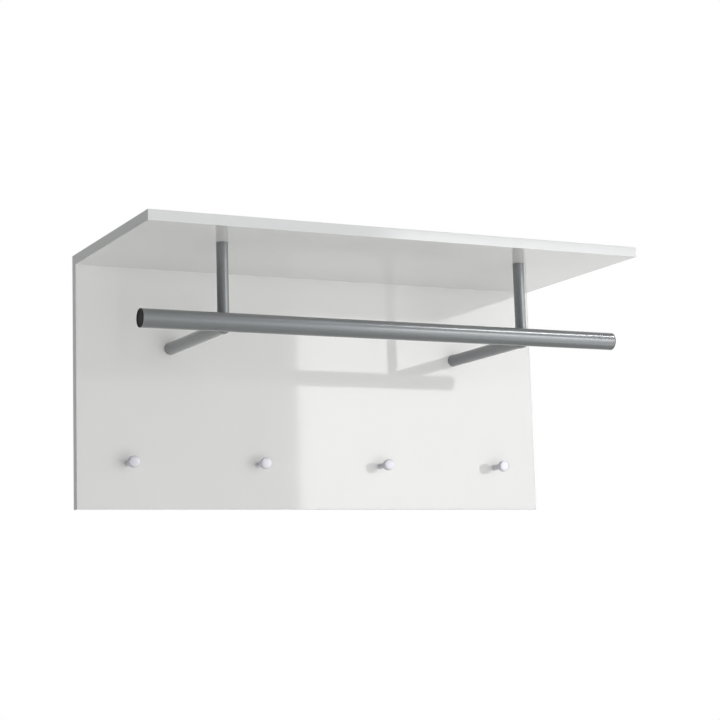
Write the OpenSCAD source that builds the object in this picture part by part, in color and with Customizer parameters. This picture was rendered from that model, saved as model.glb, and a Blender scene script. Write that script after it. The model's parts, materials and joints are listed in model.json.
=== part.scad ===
// Wall coat rack: a back panel carries a hat shelf, a clothes rail on two brackets and a row of knobs.
// Frame: the origin is the centre of the panel's back face, on the wall.
// +X points right as seen from the room, -Y into the room, +Z up. Millimetres.

/* [Boards] */
// Width of the panel and of the shelf
rack_w = 830; // [640:10:1200]
// Height of the back panel, up to the underside of the shelf
panel_h = 384; // [320:1:600]
// Depth of the shelf, from the wall to its front edge
shelf_d = 350; // [290:1:450]
// Thickness of both boards
board_t = 16; // [13:0.1:25]
// Thickness of the edge bands on the boards
edge_t = 1; // [0.4:0.1:2]

/* [Rail] */
// Outside diameter of the rail tube
rail_d = 28; // [22:0.1:34]
// Wall of the rail tube
rail_wall = 1.5; // [1:0.1:2.5]
// Distance from each side of the panel to the end of the rail
rail_inset = 10; // [0:1:80]
// Rail axis to the wall
rail_out = 282; // [200:1:320]
// Rail axis below the underside of the shelf
rail_drop = 128; // [90:1:170]
// Thickness of the flange of the rail's end caps
cap_flange_t = 1.5; // [1:0.1:4]
// Length of the end cap's spigot inside the rail
cap_spigot_l = 14; // [8:1:25]

/* [Brackets] */
// Distance from each side of the panel to the bracket's axis
bracket_inset = 156; // [110:1:240]
// Outside diameter of the arm tubes, from the panel to the rail
arm_d = 20; // [16.5:0.1:24]
// Outside diameter of the post tubes, from the shelf to the arms
post_d = 18; // [15:0.1:20]
// Wall of the arm and post tubes
tube_wall = 1.5; // [1:0.1:2]
// Post axis behind the rail axis
post_back = 41; // [40:1:80]
// Length of the threaded plugs in the tube ends
plug_l = 12; // [10:1:14]

/* [Knobs] */
// Distance from each side of the panel to the outermost knob
knob_inset = 82; // [40:1:140]
// Knob axis above the lower edge of the panel
knob_rise = 72; // [30:1:120]
// Length of a knob, from the panel to the crown of its head
knob_l = 36; // [28:0.1:45]
// Diameter of the knob's head
knob_head_d = 18.4; // [14:0.1:26]
// Diameter of the knob's stem
knob_stem_d = 8.6; // [7:0.1:12]
// Thickness of the knob's head, from its rim's back edge to its crown
knob_head_t = 8; // [6:0.1:12]
// Length of the flare behind the head
knob_flare_l = 10; // [6:0.1:12]

/* [Fasteners] */
// Thread diameter of the bracket bolts, studs and nuts
bolt_d = 6; // [5:1:7]
// Head diameter of the bracket bolts
bolt_head_d = 10; // [9:0.1:12]
// Head height of the bracket bolts
bolt_head_h = 3.4; // [2.5:0.1:4.5]
// Diameter of the washers
washer_d = 12; // [11:0.1:14]
// Thickness of the washers
washer_t = 1; // [0.8:0.1:1.6]
// Diameter of the recesses that sink the bolt heads into the boards
bolt_recess_d = 14; // [13:0.1:18]
// Depth of the recesses that sink the bolt heads into the boards
bolt_recess_depth = 7; // [6:0.1:8]
// Thread diameter of the knob screws
knob_screw_d = 4; // [3:0.5:5]
// Head diameter of the knob screws
knob_screw_head_d = 8; // [6:0.1:9]
// Head height of the knob screws
knob_screw_head_h = 2.4; // [2:0.1:3.5]
// Depth of the recesses that sink the knob screw heads into the panel
knob_recess_depth = 4; // [3:0.1:6]
// Diameter of the wooden dowels
dowel_d = 8; // [6:1:10]
// Diameter of the cam housings
cam_d = 15; // [12:0.1:18]
// Depth of the cam housings
cam_depth = 12; // [10:0.1:12]
// Cam centre below the top edge of the panel
cam_drop = 24; // [20:1:34]
// Distance from each side of the panel to the outer cams
cam_inset = 55; // [40:1:70]
// Distance from each side of the panel to the outer dowels
dowel_inset = 95; // [85:1:140]
// Distance from the middle of the panel to the inner dowels
dowel_mid = 60; // [30:1:100]

/* [Wall hangers] */
// Distance from each side of the panel to the hanger's axis
hanger_inset = 115; // [60:1:150]
// Gap between the lowest point of the cams and the top of the hanger plate
hanger_gap = 3.5; // [2:0.5:16]
// Width of the hanger plate
hanger_w = 60; // [50:1:80]
// Height of the hanger plate
hanger_h = 26; // [24:1:34]
// Thickness of the hanger plate
hanger_t = 2; // [1.5:0.1:3]
// Diameter of the keyhole's round entry
key_d = 9.5; // [8:0.1:11]
// Width of the keyhole's slot
key_slot_w = 5; // [4:0.1:6]
// Rise of the keyhole's slot above its entry
key_rise = 9; // [8:0.1:12]

/* [Fits] */
// Radial gap of a plug, spigot, dowel or thread in its hole
fit_gap = 0.05; // [0.02:0.01:0.15]
// Gap between a coped tube end and the tube it sits on
cope_gap = 0.1; // [0.05:0.01:0.3]
// Radial gap round a bolt or screw where it passes through a board or a tube wall
pass_gap = 0.25; // [0.15:0.01:0.5]

/* [Hidden] */
$fn = 96;

white = "white";
silver = "#A9ADB3";
dark_grey = "#3A3B3C";
knob_grey = "#C9C8D2";
zinc = "#C4C6C8";
beech = "#D8B98A";

// Knobs in the row; each one is a node of its own
knob_count = 4;
// Amount by which a cutting shape runs past the face it cuts
over = 1;
// Clearance past the end of a bolt, stud, screw or dowel
end_gap = 1;
// Board left beyond the end of a blind hole
board_skin = 3.5;

panel_top = panel_h / 2;
panel_low = -panel_h / 2;
panel_front = -board_t;
shelf_top = panel_top + board_t;
side_x = rack_w / 2;
core_x = side_x - edge_t;
core_low = panel_low + edge_t;

rail_r = rail_d / 2;
rail_bore_r = rail_r - rail_wall;
rail_y = -rail_out;
rail_z = panel_top - rail_drop;
rail_end = side_x - rail_inset;
rail_tube_end = rail_end - cap_flange_t;

arm_r = arm_d / 2;
arm_bore_r = arm_r - tube_wall;
arm_x = side_x - bracket_inset;
post_r = post_d / 2;
post_bore_r = post_r - tube_wall;
post_y = rail_y + post_back;
arm_top = rail_z + arm_r;

bolt_r = bolt_d / 2;
bolt_pass_r = bolt_r + pass_gap;
bolt_head_r = bolt_head_d / 2;
bolt_l = washer_t + board_t - bolt_recess_depth + plug_l - end_gap;

// The screw in the arm reaches up into the post; its head bears on the arm's curved inner wall
foot_head_z = rail_z + sqrt(pow(arm_bore_r, 2) - pow(bolt_head_r, 2)) - fit_gap;
access_gap = 0.5;
access_r = bolt_head_r + access_gap;
foot_plug_z = arm_top + end_gap;

// Rivet nut in the back wall of the rail: a flange outside, a pressed collar inside
nut_wall = 1.5;
nut_body_r = bolt_r + nut_wall;
nut_flange_w = 1.5;
nut_flange_t = 1;
nut_collar_w = 1;
nut_collar_l = 3;
nut_l = 11;
nut_face_y = rail_y + rail_r + nut_flange_t;
front_plug_y = nut_face_y + end_gap;

knob_r = knob_head_d / 2;
knob_stem_r = knob_stem_d / 2;
knob_z = panel_low + knob_rise;
knob_pitch = (rack_w - 2 * knob_inset) / (knob_count - 1);
knob_screw_r = knob_screw_d / 2;
knob_screw_engage = 12;
knob_thread_l = knob_screw_engage + 2 * end_gap;
knob_head_gap = 1;
knob_recess_r = knob_screw_head_d / 2 + knob_head_gap;

cam_xs = [-side_x + cam_inset, 0, side_x - cam_inset];
dowel_xs = [-side_x + dowel_inset, -dowel_mid, dowel_mid, side_x - dowel_inset];
mid_y = -board_t / 2;
cam_z = panel_top - cam_drop;
dowel_r = dowel_d / 2;
dowel_panel_l = 24;
shelf_hole_depth = board_t - board_skin;
cam_head_r = 3.5;
cam_neck_r = 2;
cam_thread_r = 3;

hanger_x = side_x - hanger_inset;
hanger_z = cam_z - cam_d / 2 - hanger_gap - hanger_h / 2;
hanger_screw_inset = 7;
hanger_screw_x = hanger_w / 2 - hanger_screw_inset;
hanger_screw_r = 1.75;
hanger_head_r = 3.5;
hanger_hole_depth = board_t - board_skin;
key_low = -key_rise / 2;
key_high = key_rise / 2;
// Room behind the plate for the wall screw's head
key_room = 1;
key_pocket_r = key_d / 2 + key_room;
key_pocket_depth = 9;

function knob_x(i) = -side_x + knob_inset + i * knob_pitch;

// Cylinder along Y from y0 up to y1
module rod_y(r, y0, y1) {
    translate([0, y0, 0]) rotate([-90, 0, 0]) cylinder(r = r, h = y1 - y0);
}

// Cylinder along X from x0 up to x1
module rod_x(r, x0, x1) {
    translate([x0, 0, 0]) rotate([0, 90, 0]) cylinder(r = r, h = x1 - x0);
}

// Children at the arm axis on the left and on the right
module at_brackets() {
    for (x = [-arm_x, arm_x]) translate([x, 0, 0]) children();
}

// Box from its lowest to its highest corner
module block(low, high) {
    translate(low) cube(high - low);
}

// Pan-head bolt: the shank starts at the origin and runs along +Z, the head lies below it
module pan_bolt(thread_r, shank_l, head_r, head_h) {
    drive_share = 0.6;
    drive_r = thread_r * drive_share;
    drive_depth = head_h * drive_share;
    chamfer = 0.5;
    difference() {
        union() {
            cylinder(r = thread_r - fit_gap, h = shank_l - chamfer);
            translate([0, 0, shank_l - chamfer])
                cylinder(r1 = thread_r - fit_gap, r2 = thread_r - fit_gap - chamfer, h = chamfer);
            translate([0, 0, -head_h]) rotate_extrude() pan_head_outline(head_r, head_h);
        }
        translate([0, 0, -head_h - over]) cylinder(r = drive_r, h = drive_depth + over, $fn = 6);
    }
}

// Half section of a pan head: flat seat on top, rounded rim below
module pan_head_outline(head_r, head_h) {
    rim_share = 0.45;
    rim = head_h * rim_share;
    square([head_r - rim, head_h]);
    translate([0, rim]) square([head_r, head_h - rim]);
    intersection() {
        translate([head_r - rim, rim]) circle(r = rim);
        square([head_r, rim]);
    }
}

// Threaded plug that is pressed into a tube end, along +Z from the origin
module tube_plug(bore_r) {
    difference() {
        cylinder(r = bore_r - fit_gap, h = plug_l);
        translate([0, 0, -over]) cylinder(r = bolt_r, h = plug_l + 2 * over);
    }
}

module washer() {
    difference() {
        cylinder(r = washer_d / 2, h = washer_t);
        translate([0, 0, -over]) cylinder(r = bolt_pass_r, h = washer_t + 2 * over);
    }
}

module hanger_outline(grow) {
    corner_r = 4;
    w = hanger_w / 2 - corner_r;
    h = hanger_h / 2 - corner_r;
    square([hanger_w - 2 * corner_r, hanger_h + 2 * grow], center = true);
    square([hanger_w + 2 * grow, hanger_h - 2 * corner_r], center = true);
    for (x = [-w, w], z = [-h, h]) translate([x, z]) circle(r = corner_r + grow);
}

// Keyhole: a round entry with a narrower slot above it
module keyhole_outline(entry_r, slot_r) {
    translate([0, key_low]) circle(r = entry_r);
    translate([-slot_r, key_low]) square([2 * slot_r, key_high - key_low]);
    translate([0, key_high]) circle(r = slot_r);
}

// A flat outline drawn in X and Z, standing from y0 up to y1
module slab_y(y0, y1) {
    translate([0, y1, 0]) rotate([90, 0, 0]) linear_extrude(height = y1 - y0) children();
}

// ---- boards -------------------------------------------------------------------------------------

module panel_bolt_holes() {
    at_brackets() translate([0, 0, rail_z]) {
        rod_y(bolt_pass_r, panel_front - over, over);
        rod_y(bolt_recess_d / 2, -bolt_recess_depth, over);
    }
}

module panel_knob_holes() {
    for (i = [0 : knob_count - 1]) translate([knob_x(i), 0, knob_z]) {
        rod_y(knob_screw_r + pass_gap, panel_front - over, over);
        rod_y(knob_recess_r, -knob_recess_depth, over);
    }
}

module panel_cam_holes() {
    for (x = cam_xs) {
        translate([x, 0, cam_z]) rod_y(cam_d / 2 + fit_gap, -cam_depth - fit_gap, over);
        translate([x, mid_y, cam_z]) cylinder(r = cam_head_r + pass_gap, h = cam_drop + over);
    }
}

module panel_dowel_holes() {
    for (x = dowel_xs) translate([x, mid_y, panel_top - dowel_panel_l - end_gap])
        cylinder(r = dowel_r, h = dowel_panel_l + end_gap + over);
}

module hanger_pockets() {
    for (x = [-hanger_x, hanger_x]) translate([x, 0, hanger_z]) {
        slab_y(-hanger_t, over) hanger_outline(fit_gap);
        slab_y(-key_pocket_depth, 0) keyhole_outline(key_pocket_r, key_pocket_r);
        for (s = [-1, 1]) translate([s * hanger_screw_x, 0, 0])
            rod_y(hanger_screw_r, -hanger_hole_depth, over);
    }
}

module back_panel() {
    color(white) difference() {
        block([-core_x, panel_front, core_low], [core_x, 0, panel_top]);
        panel_bolt_holes();
        panel_knob_holes();
        panel_cam_holes();
        panel_dowel_holes();
        hanger_pockets();
    }
}

module panel_edge_side(side) {
    x0 = side < 0 ? -side_x : core_x;
    color(white) block([x0, panel_front, panel_low], [x0 + edge_t, 0, panel_top]);
}

module panel_edge_bottom() {
    color(white) block([-core_x, panel_front, panel_low], [core_x, 0, core_low]);
}

module shelf_board() {
    color(white) difference() {
        block([-core_x, -shelf_d + edge_t, panel_top], [core_x, 0, shelf_top]);
        at_brackets() translate([0, post_y, 0]) {
            translate([0, 0, panel_top - over]) cylinder(r = bolt_pass_r, h = board_t + 2 * over);
            translate([0, 0, shelf_top - bolt_recess_depth])
                cylinder(r = bolt_recess_d / 2, h = bolt_recess_depth + over);
        }
        for (x = cam_xs) translate([x, mid_y, panel_top - over])
            cylinder(r = cam_thread_r, h = shelf_hole_depth + over);
        for (x = dowel_xs) translate([x, mid_y, panel_top - over])
            cylinder(r = dowel_r, h = shelf_hole_depth + over);
    }
}

module shelf_edge_front() {
    color(white) block([-side_x, -shelf_d, panel_top], [side_x, -shelf_d + edge_t, shelf_top]);
}

module shelf_edge_side(side) {
    x0 = side < 0 ? -side_x : core_x;
    color(white) block([x0, -shelf_d + edge_t, panel_top], [x0 + edge_t, 0, shelf_top]);
}

// ---- rail ---------------------------------------------------------------------------------------

module rail_tube() {
    color(silver) difference() {
        translate([0, rail_y, rail_z]) rod_x(rail_r, -rail_tube_end, rail_tube_end);
        translate([0, rail_y, rail_z]) rod_x(rail_bore_r, -rail_tube_end - over, rail_tube_end + over);
        at_brackets() translate([0, 0, rail_z]) rod_y(nut_body_r + fit_gap, rail_y, nut_face_y);
    }
}

// End cap: a thin flange with a rounded rim and a shallow dish, and a hollow spigot; it faces +Z
module end_cap() {
    rim = cap_flange_t / 2;
    dish_rim = 3;
    dish_r = rail_r - dish_rim;
    dish_share = 0.4;
    dish_depth = cap_flange_t * dish_share;
    spigot_r = rail_bore_r - fit_gap;
    spigot_wall = 1.6;
    rotate_extrude() difference() {
        union() {
            square([rail_r, cap_flange_t - rim]);
            square([rail_r - rim, cap_flange_t]);
            translate([rail_r - rim, cap_flange_t - rim]) circle(r = rim);
            translate([0, -cap_spigot_l]) square([spigot_r, cap_spigot_l]);
        }
        translate([-over, cap_flange_t - dish_depth]) square([dish_r + over, dish_depth + over]);
        translate([-over, -cap_spigot_l - over]) square([spigot_r - spigot_wall + over, cap_spigot_l + over]);
    }
}

module rail_cap(side) {
    color(dark_grey) translate([side * rail_tube_end, rail_y, rail_z]) rotate([0, side * 90, 0]) end_cap();
}

// The collar's rim bears on the curved inner wall of the rail
module rail_rivet_nuts() {
    collar_r = nut_body_r + nut_collar_w;
    collar_y = rail_y + sqrt(pow(rail_bore_r, 2) - pow(collar_r, 2)) - fit_gap;
    color(zinc) at_brackets() translate([0, 0, rail_z]) difference() {
        union() {
            rod_y(nut_body_r + nut_flange_w, nut_face_y - nut_flange_t, nut_face_y);
            rod_y(nut_body_r, nut_face_y - nut_l, nut_face_y);
            rod_y(collar_r, collar_y - nut_collar_l, collar_y);
        }
        rod_y(bolt_r, nut_face_y - nut_l - over, nut_face_y + over);
    }
}

// ---- brackets -----------------------------------------------------------------------------------

module arm(side) {
    color(silver) translate([side * arm_x, 0, rail_z]) difference() {
        rod_y(arm_r, rail_y, panel_front);
        rod_y(arm_bore_r, rail_y - over, panel_front + over);
        translate([0, rail_y, 0]) rod_x(rail_r + cope_gap, -rail_d, rail_d);
        translate([0, post_y, 0]) cylinder(r = bolt_pass_r, h = arm_d);
        translate([0, post_y, -arm_d]) cylinder(r = access_r, h = arm_d);
    }
}

module arm_front_plugs() {
    color(zinc) at_brackets() translate([0, front_plug_y, rail_z]) rotate([-90, 0, 0]) tube_plug(arm_bore_r);
}

module arm_studs() {
    color(zinc) at_brackets() translate([0, 0, rail_z])
        rod_y(bolt_r - fit_gap, nut_face_y - nut_l + end_gap, front_plug_y + plug_l - end_gap);
}

module arm_rear_plugs() {
    color(zinc) at_brackets() translate([0, panel_front, rail_z]) rotate([90, 0, 0]) tube_plug(arm_bore_r);
}

module arm_bolts() {
    color(zinc) at_brackets() translate([0, washer_t - bolt_recess_depth, rail_z])
        rotate([90, 0, 0]) pan_bolt(bolt_r, bolt_l, bolt_head_r, bolt_head_h);
}

module arm_washers() {
    color(zinc) at_brackets() translate([0, washer_t - bolt_recess_depth, rail_z])
        rotate([90, 0, 0]) washer();
}

// Saddle-shaped cover that closes the screw's access hole in the underside of the arm
module arm_hole_covers() {
    cover_t = 0.8;
    lip = 1.5;
    plug_wall = 1;
    plug_rise = 1;
    shell_in = arm_r + cope_gap;
    color(silver) at_brackets() {
        translate([0, post_y, rail_z]) intersection() {
            translate([0, 0, -arm_d]) cylinder(r = access_r + lip, h = arm_d);
            difference() {
                rod_y(shell_in + cover_t, -arm_d, arm_d);
                rod_y(shell_in, -arm_d - over, arm_d + over);
            }
        }
        translate([0, post_y, rail_z]) difference() {
            translate([0, 0, -shell_in - cover_t / 2])
                cylinder(r = access_r - fit_gap, h = cover_t / 2 + tube_wall + plug_rise);
            translate([0, 0, -shell_in + cope_gap])
                cylinder(r = access_r - fit_gap - plug_wall, h = arm_d);
            difference() {
                rod_y(2 * arm_d, -arm_d, arm_d);
                rod_y(shell_in + cover_t, -arm_d - over, arm_d + over);
            }
        }
    }
}

module post(side) {
    color(silver) difference() {
        translate([side * arm_x, post_y, rail_z]) cylinder(r = post_r, h = rail_drop);
        translate([side * arm_x, post_y, rail_z - over]) cylinder(r = post_bore_r, h = rail_drop + 2 * over);
        translate([side * arm_x, post_y, rail_z]) rod_y(arm_r + cope_gap, -arm_d, arm_d);
    }
}

module post_foot_plugs() {
    color(zinc) at_brackets() translate([0, post_y, foot_plug_z]) tube_plug(post_bore_r);
}

module post_foot_screws() {
    color(zinc) at_brackets() translate([0, post_y, foot_head_z])
        pan_bolt(bolt_r, foot_plug_z + plug_l - end_gap - foot_head_z, bolt_head_r, bolt_head_h);
}

module post_top_plugs() {
    color(zinc) at_brackets() translate([0, post_y, panel_top - plug_l]) tube_plug(post_bore_r);
}

module post_bolts() {
    color(zinc) at_brackets() translate([0, post_y, shelf_top - bolt_recess_depth + washer_t])
        rotate([180, 0, 0]) pan_bolt(bolt_r, bolt_l, bolt_head_r, bolt_head_h);
}

module post_washers() {
    color(zinc) at_brackets() translate([0, post_y, shelf_top - bolt_recess_depth]) washer();
}

// White cap pressed flush into the recess over the bolt head: a disc with a skirt round the head
module shelf_cover_caps() {
    head_gap = 0.4;
    chamfer = 0.3;
    cap_r = bolt_recess_d / 2 - fit_gap;
    skirt_in = bolt_head_r + head_gap;
    skirt_l = bolt_recess_depth - washer_t - head_gap;
    disc_t = skirt_l - bolt_head_h;
    color(white) at_brackets() translate([0, post_y, shelf_top]) rotate_extrude()
        polygon([[0, 0], [cap_r - chamfer, 0], [cap_r, -chamfer], [cap_r, -skirt_l],
                 [skirt_in, -skirt_l], [skirt_in, -disc_t], [0, -disc_t]]);
}

// ---- knobs --------------------------------------------------------------------------------------

// Half section of a knob, radius along X and height above the panel along Y
module knob_outline() {
    steps = 10;
    rim_r = 1;
    crown_rise = 0.8;
    flare_bend = 1.6;
    head_low = knob_l - knob_head_t;
    flare_low = head_low - knob_flare_l;
    crown_low = knob_l - crown_rise;
    flare = [for (i = [0 : steps]) let (a = 90 * i / steps)
        [knob_r - rim_r - (knob_r - rim_r - knob_stem_r) * cos(a),
         flare_low + knob_flare_l * (1 - pow(1 - sin(a), flare_bend))]];
    crown = [for (i = [0 : steps]) let (a = 90 * i / steps)
        [(knob_r - rim_r) * cos(a), crown_low + (knob_l - crown_low) * sin(a)]];
    polygon(concat([[0, 0], [knob_stem_r, 0]], flare,
                   [[knob_r - rim_r, head_low], [knob_r - rim_r, crown_low]], crown));
    translate([knob_r - 2 * rim_r, head_low + rim_r]) square([2 * rim_r, crown_low - head_low - 2 * rim_r]);
    for (y = [head_low + rim_r, crown_low - rim_r]) translate([knob_r - rim_r, y]) circle(r = rim_r);
}

module knob(i) {
    color(knob_grey) translate([knob_x(i), panel_front, knob_z]) rotate([90, 0, 0]) difference() {
        rotate_extrude() intersection() {
            knob_outline();
            square([knob_head_d, knob_l]);
        }
        translate([0, 0, -over]) cylinder(r = knob_screw_r, h = knob_thread_l + over);
    }
}

module knob_screws() {
    color(zinc) for (i = [0 : knob_count - 1]) translate([knob_x(i), -knob_recess_depth, knob_z])
        rotate([90, 0, 0])
            pan_bolt(knob_screw_r, board_t - knob_recess_depth + knob_screw_engage,
                     knob_screw_head_d / 2, knob_screw_head_h);
}

// ---- shelf joints -------------------------------------------------------------------------------

module cam_housings() {
    room = 0.4;
    slot_w = 2 * (cam_neck_r + room);
    pocket_r = cam_head_r + room;
    cross_l = 9;
    cross_w = 1.6;
    cross_depth = 2.5;
    color(zinc) for (x = cam_xs) translate([x, 0, cam_z]) difference() {
        rod_y(cam_d / 2, -cam_depth, -fit_gap);
        translate([0, mid_y, -pocket_r]) cylinder(r = pocket_r, h = 2 * pocket_r);
        block([-slot_w / 2, mid_y - slot_w / 2, 0], [slot_w / 2, mid_y + slot_w / 2, cam_d]);
        block([-cross_l / 2, -cross_depth, -cross_w / 2], [cross_l / 2, over, cross_w / 2]);
        block([-cross_w / 2, -cross_depth, -cross_l / 2], [cross_w / 2, over, cross_l / 2]);
    }
}

// Bolt screwed into the underside of the shelf; the cam grips its head inside the panel
module cam_bolts() {
    collar_l = 1.5;
    head_l = 6;
    thread_l = shelf_hole_depth - end_gap;
    color(zinc) for (x = cam_xs) translate([x, mid_y, cam_z]) {
        translate([0, 0, -head_l / 2]) cylinder(r = cam_head_r, h = head_l);
        cylinder(r = cam_neck_r, h = cam_drop);
        translate([0, 0, cam_drop - collar_l]) cylinder(r = cam_head_r, h = collar_l);
        translate([0, 0, cam_drop - collar_l]) cylinder(r = cam_thread_r - fit_gap, h = collar_l + thread_l);
    }
}

module dowels() {
    chamfer = 1;
    r = dowel_r - fit_gap;
    l = dowel_panel_l + shelf_hole_depth - end_gap;
    color(beech) for (x = dowel_xs) translate([x, mid_y, panel_top - dowel_panel_l]) {
        cylinder(r1 = r - chamfer, r2 = r, h = chamfer);
        translate([0, 0, chamfer]) cylinder(r = r, h = l - 2 * chamfer);
        translate([0, 0, l - chamfer]) cylinder(r1 = r, r2 = r - chamfer, h = chamfer);
    }
}

// ---- wall hangers -------------------------------------------------------------------------------

module hanger_plate(side) {
    color(zinc) translate([side * hanger_x, 0, hanger_z]) difference() {
        slab_y(-hanger_t, 0) hanger_outline(0);
        slab_y(-hanger_t - over, over) keyhole_outline(key_d / 2, key_slot_w / 2);
        for (s = [-1, 1]) translate([s * hanger_screw_x, 0, 0]) {
            rod_y(hanger_screw_r + pass_gap, -hanger_t - over, over);
            rotate([90, 0, 0]) cylinder(r1 = hanger_head_r + fit_gap, r2 = hanger_screw_r + fit_gap,
                                        h = hanger_head_r - hanger_screw_r);
        }
    }
}

module hanger_screws() {
    cone_l = hanger_head_r - hanger_screw_r;
    screw_l = hanger_hole_depth - end_gap;
    tip_l = 3;
    tip_r = 0.3;
    drive_r = 1.2;
    drive_depth = 1.2;
    color(zinc) for (x = [-hanger_x, hanger_x], s = [-1, 1])
        translate([x + s * hanger_screw_x, 0, hanger_z]) rotate([90, 0, 0]) difference() {
            union() {
                cylinder(r1 = hanger_head_r, r2 = hanger_screw_r - fit_gap, h = cone_l);
                cylinder(r = hanger_screw_r - fit_gap, h = screw_l - tip_l);
                translate([0, 0, screw_l - tip_l])
                    cylinder(r1 = hanger_screw_r - fit_gap, r2 = tip_r, h = tip_l);
            }
            translate([0, 0, -over]) cylinder(r = drive_r, h = drive_depth + over, $fn = 4);
        }
}

back_panel();
panel_edge_side(-1);  // panel_edge_left
panel_edge_side(1);  // panel_edge_right
panel_edge_bottom();
shelf_board();
shelf_edge_front();
shelf_edge_side(-1);  // shelf_edge_left
shelf_edge_side(1);  // shelf_edge_right
rail_tube();
rail_cap(-1);  // rail_cap_left
rail_cap(1);  // rail_cap_right
rail_rivet_nuts();
arm(-1);  // arm_left
arm(1);  // arm_right
arm_front_plugs();
arm_studs();
arm_rear_plugs();
arm_bolts();
arm_washers();
arm_hole_covers();
post(-1);  // post_left
post(1);  // post_right
post_foot_plugs();
post_foot_screws();
post_top_plugs();
post_bolts();
post_washers();
shelf_cover_caps();
knob(0);  // knob_1
knob(1);  // knob_2
knob(2);  // knob_3
knob(3);  // knob_4
knob_screws();
cam_housings();
cam_bolts();
dowels();
hanger_plate(-1);  // hanger_plate_left
hanger_plate(1);  // hanger_plate_right
hanger_screws();
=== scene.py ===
"""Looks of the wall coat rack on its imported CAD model: finishes, rounded edges, light and camera."""
import json
import math

import bpy
from mathutils import Matrix, Vector


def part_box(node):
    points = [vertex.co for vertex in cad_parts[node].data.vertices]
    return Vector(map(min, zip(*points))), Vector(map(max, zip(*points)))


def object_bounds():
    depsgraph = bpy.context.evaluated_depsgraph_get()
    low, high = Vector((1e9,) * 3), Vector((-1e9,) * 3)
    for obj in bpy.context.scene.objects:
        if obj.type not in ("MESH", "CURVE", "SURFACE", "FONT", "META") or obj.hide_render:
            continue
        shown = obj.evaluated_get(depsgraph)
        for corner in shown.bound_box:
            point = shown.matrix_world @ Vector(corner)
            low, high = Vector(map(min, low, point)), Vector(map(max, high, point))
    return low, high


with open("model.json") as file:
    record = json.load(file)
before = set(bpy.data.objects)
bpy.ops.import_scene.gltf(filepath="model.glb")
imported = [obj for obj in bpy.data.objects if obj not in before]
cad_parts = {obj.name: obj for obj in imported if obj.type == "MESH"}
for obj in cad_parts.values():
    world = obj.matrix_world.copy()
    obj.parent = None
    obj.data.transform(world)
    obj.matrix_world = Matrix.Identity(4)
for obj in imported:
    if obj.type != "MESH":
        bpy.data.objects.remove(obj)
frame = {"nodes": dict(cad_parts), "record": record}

CAD_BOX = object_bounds()
MM = 0.001

# The two boards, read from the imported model
PANEL_LOW, PANEL_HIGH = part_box("back_panel")
SHELF_LOW, SHELF_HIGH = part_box("shelf_board")

# Camera: where it stands, how it is turned, and its sensor and lens in millimetres
CAMERA_PLACE = Vector((-1.2567, -2.6720, -0.3669))
CAMERA_TURN = math.radians(-26.84)
CAMERA_TILT = math.radians(8.37)
CAMERA_ROLL = math.radians(-1.71)
CAMERA_SENSOR = 36.0
CAMERA_LENS = 89.32
CAMERA_SHIFT = (-0.0054, -0.0097)

# Lights: (centre, width, height, radiance). The softbox stands upright at the right of the camera, where
# the gloss panel mirrors it, with a dimmer screen below it and one on the floor for the rail's lower half.
# The lamp high above draws the line along the rail, and the side one those on the posts. The fill lights
# the white faces and leaves no reflection.
SOFTBOX = (Vector((1.666, -2.635, 0.37)), 1.0, 0.86, 4.6)
LOW_SCREEN = (Vector((1.666, -2.635, -0.72)), 1.0, 1.3, 1.5)
FLOOR_SCREEN = (Vector((1.9, -1.4, -1.85)), 1.8, 1.8, 1.1)
HIGH_LAMP = (Vector((2.26, -2.07, 2.70)), 0.9, 0.45, 20.0)
SIDE_LAMP = (Vector((2.3, -1.6, 0.20)), 0.9, 0.7, 5.0)
FILL = (Vector((0.0, -2.9, -0.6)), 2.4, 2.0, 2.3)
TOP_LAMP = (Vector((0.2, 1.5, 2.8)), 3.0, 2.0, 3.2)

# The floor is a many-sided disc that starts to glow at FLOOR_FADE from its middle
FLOOR_Z = -2.0
FLOOR_RADIUS = 12.0
FLOOR_FADE = 3.0
FLOOR_SIDES = 96


# ---- node helpers -------------------------------------------------------------------------------

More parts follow.
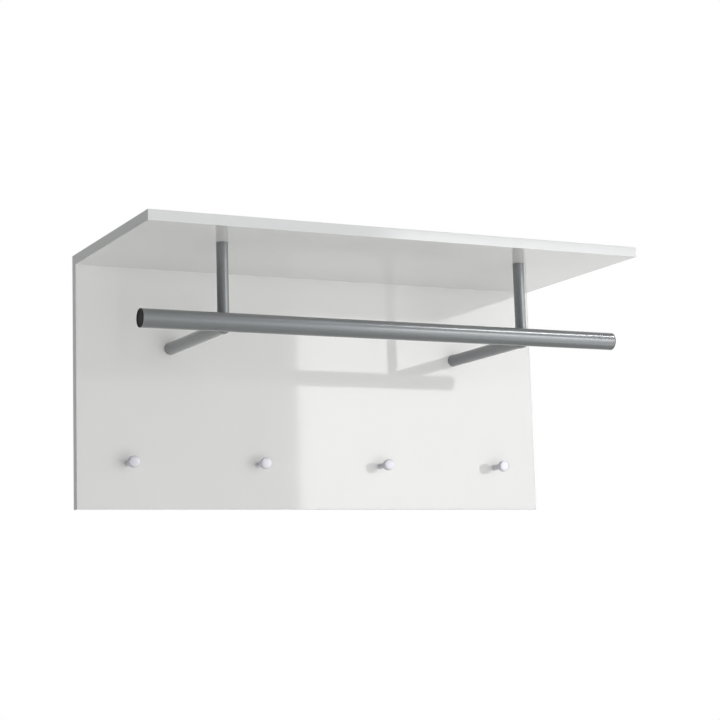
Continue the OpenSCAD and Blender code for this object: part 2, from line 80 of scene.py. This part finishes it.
class Finish:
    """A node material with one Principled shader, and short calls for the nodes in front of it."""

    def __init__(self, name, **values):
        self.material = bpy.data.materials.new(name)
        self.material.use_nodes = True
        self.tree = self.material.node_tree
        self.shader = self.tree.nodes["Principled BSDF"]
        self.place = self.node("ShaderNodeTexCoord").outputs["Object"]
        for socket, value in values.items():
            self.shader.inputs[socket.replace("_", " ")].default_value = value

    def node(self, kind, **settings):
        made = self.tree.nodes.new(kind)
        for name, value in settings.items():
            setattr(made, name, value)
        return made

    def link(self, source, target):
        self.tree.links.new(source, target)

    def noise(self, scale, detail=2.0, roughness=0.5, stretch=(1, 1, 1), distortion=0.0):
        """Noise over the object, scale in features per metre."""
        mapping = self.node("ShaderNodeMapping")
        mapping.inputs["Scale"].default_value = stretch
        self.link(self.place, mapping.inputs["Vector"])
        made = self.node("ShaderNodeTexNoise")
        made.inputs["Scale"].default_value = scale
        made.inputs["Detail"].default_value = detail
        made.inputs["Roughness"].default_value = roughness
        made.inputs["Distortion"].default_value = distortion
        self.link(mapping.outputs["Vector"], made.inputs["Vector"])
        return made.outputs["Fac"]

    def cells(self, scale, output="Distance", stretch=(1, 1, 1)):
        """Voronoi cells over the object, scale in cells per metre."""
        mapping = self.node("ShaderNodeMapping")
        mapping.inputs["Scale"].default_value = stretch
        self.link(self.place, mapping.inputs["Vector"])
        made = self.node("ShaderNodeTexVoronoi")
        made.inputs["Scale"].default_value = scale
        self.link(mapping.outputs["Vector"], made.inputs["Vector"])
        return made.outputs[output]

    def spread(self, value, low, high, start=0.0, end=1.0):
        """value from start..end, spread over low..high and held there."""
        made = self.node("ShaderNodeMapRange")
        for name, number in (("From Min", start), ("From Max", end), ("To Min", low), ("To Max", high)):
            made.inputs[name].default_value = number
        self.link(value, made.inputs["Value"])
        return made.outputs["Result"]

    def maths(self, operation, first, second):
        made = self.node("ShaderNodeMath", operation=operation)
        for socket, value in zip(made.inputs, (first, second)):
            if isinstance(value, (int, float)):
                socket.default_value = value
            else:
                self.link(value, socket)
        return made.outputs["Value"]

    def blend(self, share, first, second):
        """first where share is 0 and second where it is 1; each is a colour or another node's colour."""
        made = self.node("ShaderNodeMix", data_type="RGBA")
        self.link(share, made.inputs["Factor"])
        colours = [s for s in made.inputs if s.type == "RGBA"]
        for socket, value in zip(colours, (first, second)):
            if isinstance(value, tuple):
                socket.default_value = (*value, 1.0)
            else:
                self.link(value, socket)
        return [s for s in made.outputs if s.type == "RGBA"][0]

    def colour(self, source):
        self.link(source, self.shader.inputs["Base Color"])

    def roughness(self, source):
        self.link(source, self.shader.inputs["Roughness"])

    def relief(self, *layers):
        """Bump layers, each (height node, height in metres)."""
        before = None
        for height, depth in layers:
            bump = self.node("ShaderNodeBump")
            bump.inputs["Strength"].default_value = 1.0
            bump.inputs["Distance"].default_value = depth
            self.link(height, bump.inputs["Height"])
            if before is not None:
                self.link(before, bump.inputs["Normal"])
            before = bump.outputs["Normal"]
        self.link(before, self.shader.inputs["Normal"])


def inside_board(finish, low, high, skin):
    """1 on faces deeper than skin inside the box low..high, as a bore's wall is, and 0 on its outside."""
    axes = finish.node("ShaderNodeSeparateXYZ")
    finish.link(finish.place, axes.inputs["Vector"])
    share = None
    for axis, start, end in zip("XYZ", low, high):
        above = finish.maths("GREATER_THAN", axes.outputs[axis], start + skin)
        below = finish.maths("LESS_THAN", axes.outputs[axis], end - skin)
        both = finish.maths("MULTIPLY", above, below)
        share = both if share is None else finish.maths("MULTIPLY", share, both)
    return share


def facing_wall(finish):
    """1 on faces that look along +Y, to the wall, and 0 elsewhere."""
    geometry = finish.node("ShaderNodeNewGeometry")
    axes = finish.node("ShaderNodeSeparateXYZ")
    finish.link(geometry.outputs["True Normal"], axes.inputs["Vector"])
    return finish.maths("GREATER_THAN", axes.outputs["Y"], 0.9)


# ---- finishes -----------------------------------------------------------------------------------

CHIPBOARD_LIGHT = (0.50, 0.37, 0.23)
CHIPBOARD_DARK = (0.27, 0.18, 0.10)
BOARD_SKIN = 0.5 * MM


def board_finish(name, low, high):
    """White gloss lacquer; the face to the wall is plain melamine, and bores show chipboard."""
    f = Finish(name, IOR=1.5)
    cloud = f.noise(3.5, detail=3)
    white = f.blend(f.spread(cloud, 0, 1, 0.3, 0.7), (0.800, 0.802, 0.792), (0.818, 0.820, 0.811))
    backing = f.blend(f.noise(900, detail=4), (0.70, 0.70, 0.685), (0.76, 0.76, 0.745))
    chips = f.cells(520, output="Color", stretch=(1, 2.4, 1))
    grey = f.node("ShaderNodeRGBToBW")
    f.link(chips, grey.inputs["Color"])
    core = f.blend(grey.outputs["Val"], CHIPBOARD_DARK, CHIPBOARD_LIGHT)
    plain = facing_wall(f)
    inside = inside_board(f, low, high, BOARD_SKIN)
    f.colour(f.blend(inside, f.blend(plain, white, backing), core))

    smudges = f.spread(f.noise(14, detail=5, roughness=0.65), 0.0, 0.035, 0.52, 0.78)
    gloss = f.maths("ADD", f.spread(f.noise(260, detail=2), 0.045, 0.065, 0.3, 0.7), smudges)
    duller = f.maths("ADD", f.maths("MULTIPLY", plain, 0.30), f.maths("MULTIPLY", inside, 0.75))
    f.roughness(f.maths("ADD", gloss, duller))
    f.relief((f.noise(190, detail=2), 0.0000022), (f.noise(28, detail=1), 0.000008))
    return f.material


def edge_finish():
    """Gloss plastic edge band: a touch warmer, with the faint draw lines of the strip."""
    f = Finish("edge_band", IOR=1.5)
    f.colour(f.blend(f.noise(6, detail=3), (0.768, 0.782, 0.786), (0.790, 0.804, 0.808)))
    f.roughness(f.spread(f.noise(120, detail=3, stretch=(0.2, 0.2, 6)), 0.07, 0.12, 0.3, 0.7))
    f.relief((f.noise(240, detail=2, stretch=(0.1, 0.1, 4)), 0.0000015), (f.noise(60, detail=1), 0.000004))
    return f.material


def silver_finish(name, base, rough, metallic):
    """Satin silver powder coat: metal flake in the colour and a fine orange peel."""
    f = Finish(name, Metallic=metallic, IOR=1.5, Coat_Weight=0.7, Coat_Roughness=0.12, Coat_IOR=1.5)
    flake = f.cells(2600, output="Color")
    grey = f.node("ShaderNodeRGBToBW")
    f.link(flake, grey.inputs["Color"])
    dark = tuple(0.86 * c for c in base)
    light = tuple(min(1.12 * c, 1.0) for c in base)
    speckled = f.blend(f.spread(grey.outputs["Val"], 0, 1, 0.25, 0.75), dark, light)
    cloud = f.spread(f.noise(9, detail=3), 0.0, 0.25, 0.35, 0.75)
    f.colour(f.blend(cloud, speckled, dark))
    grain = f.spread(f.noise(1500, detail=3), rough - 0.03, rough + 0.03, 0.3, 0.7)
    wear = f.spread(f.noise(22, detail=5, roughness=0.7), 0.0, 0.05, 0.5, 0.8)
    f.roughness(f.maths("ADD", grain, wear))
    f.relief((f.noise(240, detail=1), 0.000004))
    return f.material


def moulded_finish(name, dark, light, rough, shine, grain_depth):
    """Moulded plastic with a fine spark-eroded grain and slight flow marks."""
    f = Finish(name, IOR=1.46, Specular_IOR_Level=shine)
    f.colour(f.blend(f.noise(140, detail=5, roughness=0.6), dark, light))
    f.roughness(f.spread(f.noise(900, detail=3), rough - 0.05, rough + 0.06, 0.3, 0.7))
    f.relief((f.noise(2600, detail=3), grain_depth), (f.noise(200, detail=1), 0.000006))
    return f.material


def knob_finish():
    """Satin nickel: turned rings so fine that they only soften the shine."""
    f = Finish("knob_satin", Metallic=0.45)
    f.colour(f.blend(f.noise(420, detail=4), (0.62, 0.61, 0.66), (0.67, 0.66, 0.71)))
    f.roughness(f.spread(f.noise(1600, detail=3, stretch=(1, 8, 1)), 0.38, 0.45, 0.3, 0.7))
    f.relief((f.noise(1800, detail=2, stretch=(1, 6, 1)), 0.0000018))
    return f.material


def zinc_finish(name, rough, blotch):
    """Zinc plate or plain die casting: cloudy grey with a blue-yellow cast and dull patches."""
    f = Finish(name, Metallic=1.0)
    bluish = f.blend(f.noise(260, detail=4), (0.56, 0.58, 0.60), (0.66, 0.66, 0.63))
    patches = f.spread(f.cells(blotch, output="Distance"), 0.0, 0.5, 0.1, 0.7)
    f.colour(f.blend(patches, bluish, (0.44, 0.45, 0.47)))
    f.roughness(f.spread(f.noise(700, detail=4), rough - 0.08, rough + 0.1, 0.3, 0.7))
    f.relief((f.noise(1300, detail=3), 0.000005))
    return f.material


def beech_finish():
    """Raw beech: long grain along the dowel with short dark flecks."""
    f = Finish("beech", Roughness=0.62, IOR=1.45)
    grain = f.noise(240, detail=5, roughness=0.6, stretch=(1, 1, 0.12), distortion=0.4)
    wood = f.blend(f.spread(grain, 0, 1, 0.3, 0.7), (0.52, 0.36, 0.21), (0.68, 0.52, 0.34))
    flecks = f.spread(f.noise(1500, detail=2, stretch=(1, 1, 0.15)), 0.0, 0.45, 0.6, 0.75)
    f.colour(f.blend(flecks, wood, (0.36, 0.22, 0.12)))
    f.relief((grain, 0.00005), (f.noise(1500, detail=2, stretch=(1, 1, 0.15)), 0.00003))
    return f.material


FINISHES = {
    "edge_band": edge_finish(),
    "silver_tube": silver_finish("silver_tube", (0.228, 0.241, 0.25), 0.37, 0.55),
    "silver_plastic": silver_finish("silver_plastic", (0.26, 0.265, 0.27), 0.42, 0.4),
    "dark_plastic": moulded_finish("dark_plastic", (0.012, 0.012, 0.011), (0.020, 0.020, 0.018),
                                   rough=0.45, shine=0.2, grain_depth=0.00001),
    "white_plastic": moulded_finish("white_plastic", (0.77, 0.77, 0.76), (0.81, 0.81, 0.80),
                                    rough=0.28, shine=0.5, grain_depth=0.000004),
    "knob_satin": knob_finish(),
    "zinc_steel": zinc_finish("zinc_steel", 0.34, 420),
    "zinc_casting": zinc_finish("zinc_casting", 0.48, 300),
    "beech": beech_finish(),
}
BOARDS = {
    "back_panel": board_finish("panel_gloss", PANEL_LOW, PANEL_HIGH),
    "shelf_board": board_finish("shelf_gloss", SHELF_LOW, SHELF_HIGH),
}

# Radius in millimetres of the softened edges; nodes that aren't listed keep their CAD mesh and normals
ROUNDED = {
    "back_panel": 0.2, "shelf_board": 0.2,
    "panel_edge_left": 0.3, "panel_edge_right": 0.3, "panel_edge_bottom": 0.3,
    "shelf_edge_front": 0.3, "shelf_edge_left": 0.3, "shelf_edge_right": 0.3,
    "hanger_plate_left": 0.25, "hanger_plate_right": 0.25, "cam_housings": 0.15,
}
SHARP_ANGLE = math.radians(40)


def round_edges(node, radius):
    """Joins the CAD faces, rounds the edges between them and keeps the flats flat."""
    for face in node.data.polygons:
        face.use_smooth = True
    weld = node.modifiers.new("weld", "WELD")
    weld.merge_threshold = 0.001 * MM
    bevel = node.modifiers.new("round", "BEVEL")
    bevel.width = radius
    bevel.segments = 2
    bevel.limit_method = "ANGLE"
    bevel.angle_limit = SHARP_ANGLE
    bevel.use_clamp_overlap = True
    flats = node.modifiers.new("flats", "WEIGHTED_NORMAL")
    flats.weight = 100
    flats.keep_sharp = False


def dress_nodes():
    slots = {sub["node"]: sub["material_slot"] for sub in frame["record"]["subparts"]}
    for name, node in frame["nodes"].items():
        material = BOARDS.get(name) or FINISHES[slots[name]]
        for place in node.material_slots:
            place.material = material
        if name in ROUNDED:
            round_edges(node, ROUNDED[name] * MM)


# ---- stage --------------------------------------------------------------------------------------

def make_camera():
    data = bpy.data.cameras.new("camera")
    data.sensor_width = CAMERA_SENSOR
    data.lens = CAMERA_LENS
    data.shift_x, data.shift_y = CAMERA_SHIFT
    camera = bpy.data.objects.new("camera", data)
    camera.matrix_world = (Matrix.Translation(CAMERA_PLACE) @ Matrix.Rotation(CAMERA_TURN, 4, "Z")
                           @ Matrix.Rotation(math.pi / 2 + CAMERA_TILT, 4, "X")
                           @ Matrix.Rotation(CAMERA_ROLL, 4, "Z"))
    bpy.context.scene.collection.objects.link(camera)
    bpy.context.scene.camera = camera


def area_light(name, target, centre, width, height, radiance):
    """A rectangle that shines evenly towards target; the camera doesn't see it, mirrors do."""
    data = bpy.data.lights.new(name, "AREA")
    data.shape = "RECTANGLE"
    data.size, data.size_y = width, height
    data.energy = radiance * width * height * math.pi
    light = bpy.data.objects.new(name, data)
    light.location = centre
    light.rotation_euler = (target - centre).to_track_quat("-Z", "Y").to_euler()
    light.visible_camera = False
    bpy.context.scene.collection.objects.link(light)
    return light


def make_lights():
    rack = (CAD_BOX[0] + CAD_BOX[1]) / 2
    for name, lamp in (("softbox", SOFTBOX), ("low_screen", LOW_SCREEN)):
        area_light(name, lamp[0] + Vector((0, 1, 0)), *lamp).visible_diffuse = False
    for name, lamp in (("high_lamp", HIGH_LAMP), ("side_lamp", SIDE_LAMP), ("floor_screen", FLOOR_SCREEN)):
        area_light(name, rack, *lamp).visible_diffuse = False
    area_light("fill", rack, *FILL).visible_glossy = False
    area_light("top_lamp", rack, *TOP_LAMP)


def make_world():
    """Seen directly it is white; as light it is a room that is pale before the rack, brightest behind it
    on the right, and dim on the left and overhead."""
    world = bpy.data.worlds.new("room")
    world.use_nodes = True
    tree = world.node_tree
    tree.nodes.clear()
    direction = tree.nodes.new("ShaderNodeTexCoord").outputs["Generated"]

    def ramp(towards, start, end, low, high):
        """Brightness from low to high as the direction turns towards a point of the compass."""
        along = tree.nodes.new("ShaderNodeVectorMath")
        along.operation = "DOT_PRODUCT"
        tree.links.new(direction, along.inputs[0])
        along.inputs[1].default_value = Vector(towards).normalized()
        made = tree.nodes.new("ShaderNodeMapRange")
        made.interpolation_type = "SMOOTHSTEP"
        for name, number in (("From Min", start), ("From Max", end), ("To Min", low), ("To Max", high)):
            made.inputs[name].default_value = number
        tree.links.new(along.outputs["Value"], made.inputs["Value"])
        return made.outputs["Result"]

    def maths(operation, first, second):
        made = tree.nodes.new("ShaderNodeMath")
        made.operation = operation
        tree.links.new(first, made.inputs[0])
        tree.links.new(second, made.inputs[1])
        return made.outputs["Value"]

    before = ramp((0.8, -1, 0), 0.1, 0.95, 0.16, 0.62)
    behind = ramp((1, 1, 0), 0.1, 0.95, 0.0, 0.9)
    overhead = ramp((0, 0, 1), 0.2, 0.9, 1.0, 0.7)
    room = tree.nodes.new("ShaderNodeBackground")
    tree.links.new(maths("MULTIPLY", maths("ADD", before, behind), overhead), room.inputs["Strength"])
    white = tree.nodes.new("ShaderNodeBackground")
    white.inputs["Strength"].default_value = 1.0
    for shader in (room, white):
        shader.inputs["Color"].default_value = (1, 1, 1, 1)
    seen = tree.nodes.new("ShaderNodeLightPath").outputs["Is Camera Ray"]
    mix = tree.nodes.new("ShaderNodeMixShader")
    tree.links.new(seen, mix.inputs["Fac"])
    tree.links.new(room.outputs["Background"], mix.inputs[1])
    tree.links.new(white.outputs["Background"], mix.inputs[2])
    tree.links.new(mix.outputs["Shader"], tree.nodes.new("ShaderNodeOutputWorld").inputs["Surface"])
    bpy.context.scene.world = world


def make_floor():
    """A wide pale floor below the rack that fades to white at its far edge."""
    turns = [2 * math.pi * i / FLOOR_SIDES for i in range(FLOOR_SIDES)]
    points = [(FLOOR_RADIUS * math.cos(turn), FLOOR_RADIUS * math.sin(turn), FLOOR_Z) for turn in turns]
    mesh = bpy.data.meshes.new("floor")
    mesh.from_pydata(points, [], [tuple(range(FLOOR_SIDES))])
    floor = bpy.data.objects.new("floor", mesh)
    bpy.context.scene.collection.objects.link(floor)
    f = Finish("floor", Roughness=0.7)
    f.colour(f.blend(f.noise(2.5, detail=6), (0.70, 0.70, 0.68), (0.74, 0.74, 0.72)))
    away = f.node("ShaderNodeVectorMath", operation="LENGTH")
    f.link(f.place, away.inputs[0])
    f.shader.inputs["Emission Color"].default_value = (1, 1, 1, 1)
    glow = f.spread(away.outputs["Value"], 0.03, 0.8, FLOOR_FADE, FLOOR_RADIUS)
    f.link(glow, f.shader.inputs["Emission Strength"])
    mesh.materials.append(f.material)


dress_nodes()
make_camera()
make_lights()
make_world()
make_floor()
bpy.context.scene.view_settings.view_transform = "Standard"
